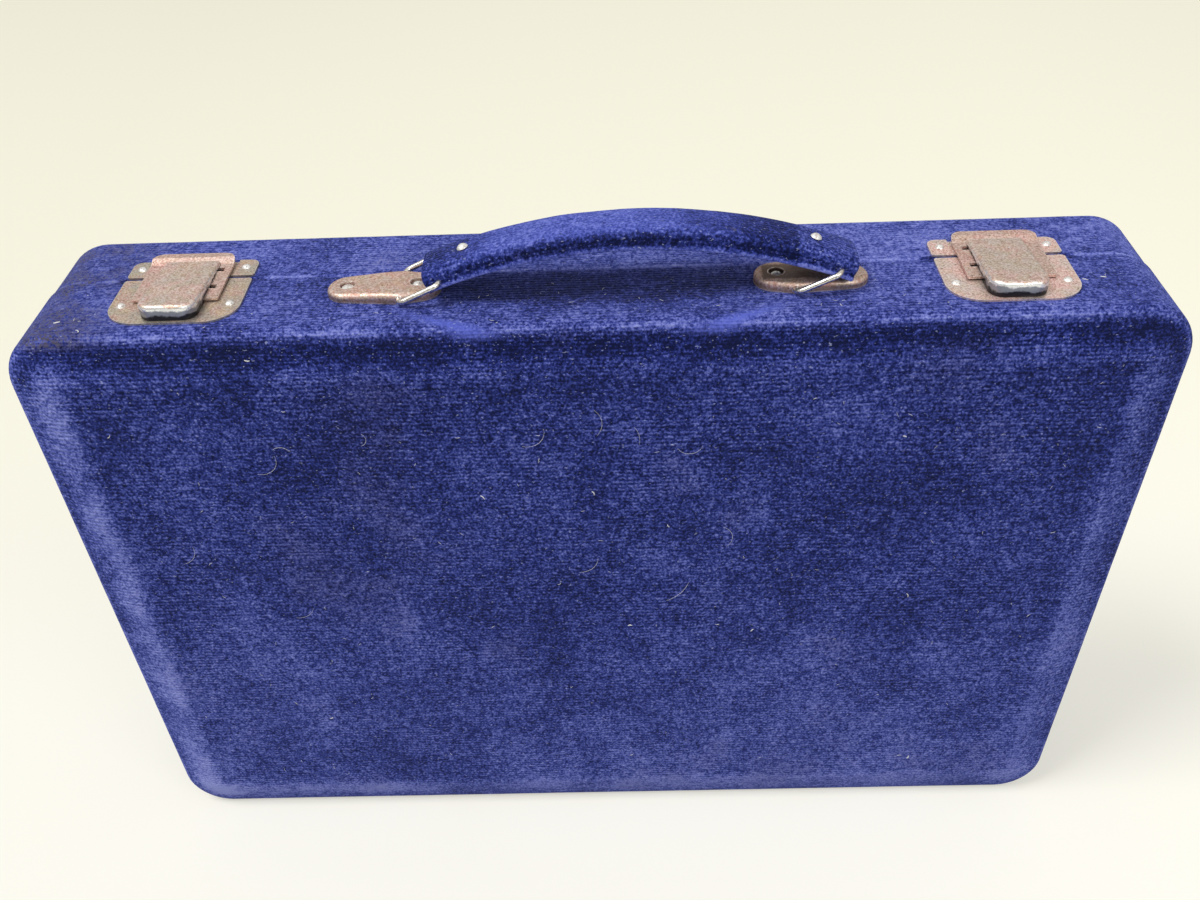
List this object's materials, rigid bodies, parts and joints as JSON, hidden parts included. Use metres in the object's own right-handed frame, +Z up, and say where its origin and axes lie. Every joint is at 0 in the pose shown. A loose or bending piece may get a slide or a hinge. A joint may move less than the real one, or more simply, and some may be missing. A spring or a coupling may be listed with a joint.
{
  "type": "mahjong case",
  "caption": "Velvet-covered hinged case with crowned faces, an arched carrying handle on wire rings and sliding-cap latches.",
  "frame": {"origin": "middle of the bottom face, on which the closed case stands", "axes": "+X to the right seen from the front, +Y from the base half towards the lid half, +Z up towards the handle"},
  "size_m": [0.48, 0.092, 0.3333],
  "materials": {
    "velvet": "royal blue ribbed velvet, worn paler on the edges",
    "wood_carcass": "plain plywood and board",
    "lining": "plain blue plush lining",
    "plate_steel": "stamped steel plate, rust-stained pink beige",
    "nickel": "nickel plate, bright on wear",
    "hinge_steel": "plain zinc-plated steel",
    "spring_steel": "blued spring strip",
    "core_steel": "plain strip steel"
  },
  "bodies": {
    "base": {"base_covering": "velvet", "base_frame": "wood_carcass", "base_panel": "wood_carcass", "base_lining": "lining", "base_hinge_nails": "hinge_steel", "rack_divider": "lining", "tile_dividers": "lining", "base_hinge_leaf_left": "hinge_steel", "hinge_pin_left": "hinge_steel", "latch_base_plate_left": "plate_steel", "latch_base_rivets_left": "nickel", "latch_keeper_left": "plate_steel", "handle_bracket_left": "plate_steel", "bracket_rivets_left": "nickel", "base_hinge_leaf_right": "hinge_steel", "hinge_pin_right": "hinge_steel", "latch_base_plate_right": "plate_steel", "latch_base_rivets_right": "nickel", "latch_keeper_right": "plate_steel", "handle_bracket_right": "plate_steel", "bracket_rivets_right": "nickel"},
    "lid": {"lid_covering": "velvet", "lid_frame": "wood_carcass", "lid_panel": "wood_carcass", "lid_lining": "lining", "lid_hinge_nails": "hinge_steel", "lid_hinge_leaf_left": "hinge_steel", "latch_lid_plate_left": "plate_steel", "latch_lid_rivets_left": "nickel", "hasp_pin_left": "hinge_steel", "lid_hinge_leaf_right": "hinge_steel", "latch_lid_plate_right": "plate_steel", "latch_lid_rivets_right": "nickel", "hasp_pin_right": "hinge_steel"},
    "handle": {"handle_core": "core_steel", "handle_cover": "velvet", "handle_rivets": "nickel"},
    "hasp_left": {"hasp_left": "plate_steel", "cap_spring_left": "spring_steel"},
    "thumb_cap_left": {"thumb_cap_left": "plate_steel", "cap_catch_left": "spring_steel"},
    "ring_left": {"handle_ring_left": "nickel"},
    "hasp_right": {"hasp_right": "plate_steel", "cap_spring_right": "spring_steel"},
    "thumb_cap_right": {"thumb_cap_right": "plate_steel", "cap_catch_right": "spring_steel"},
    "ring_right": {"handle_ring_right": "nickel"}
  },
  "joints": [
    {"name": "lid_hinge", "type": "hinge", "parent": "base", "child": "lid", "pos_m": [0, 0.003, 0.0028], "axis": [-1, 0, 0], "range_deg": [0, 95]},
    {"name": "hasp_hinge_left", "type": "hinge", "parent": "lid", "child": "hasp_left", "pos_m": [-0.1705, 0.0175, 0.3055], "axis": [-1, 0, 0], "range_deg": [0, 90]},
    {"name": "hasp_hinge_right", "type": "hinge", "parent": "lid", "child": "hasp_right", "pos_m": [0.1685, 0.0175, 0.3055], "axis": [-1, 0, 0], "range_deg": [0, 90]},
    {"name": "cap_slide_left", "type": "slide", "parent": "hasp_left", "child": "thumb_cap_left", "axis": [1, 0, 0], "range_m": [0, 0.0025], "stiffness_N_per_m": 300, "springref_m": -0.004, "deforming": ["cap_spring_left"]},
    {"name": "cap_slide_right", "type": "slide", "parent": "hasp_right", "child": "thumb_cap_right", "axis": [-1, 0, 0], "range_m": [0, 0.0025], "stiffness_N_per_m": 300, "springref_m": -0.004, "deforming": ["cap_spring_right"]},
    {"name": "ring_hinge_left", "type": "hinge", "parent": "base", "child": "ring_left", "pos_m": [-0.0783, -0.0123, 0.306], "axis": [0, -1, 0], "range_deg": [0, 132]},
    {"name": "handle_pivot", "type": "hinge", "parent": "ring_left", "child": "handle", "pos_m": [-0.06094, -0.0123, 0.31373], "axis": [0, -1, 0], "range_deg": [-132, 0]},
    {"name": "ring_hinge_right", "type": "hinge", "parent": "base", "child": "ring_right", "pos_m": [0.0813, -0.0123, 0.306], "axis": [0, -1, 0], "range_deg": [0, 132]}
  ],
  "couplings": [
    {"joint": "handle_pivot", "follows": "ring_hinge_left", "ratio": -1},
    {"joint": "ring_hinge_right", "follows": "ring_hinge_left", "ratio": 1}
  ]
}
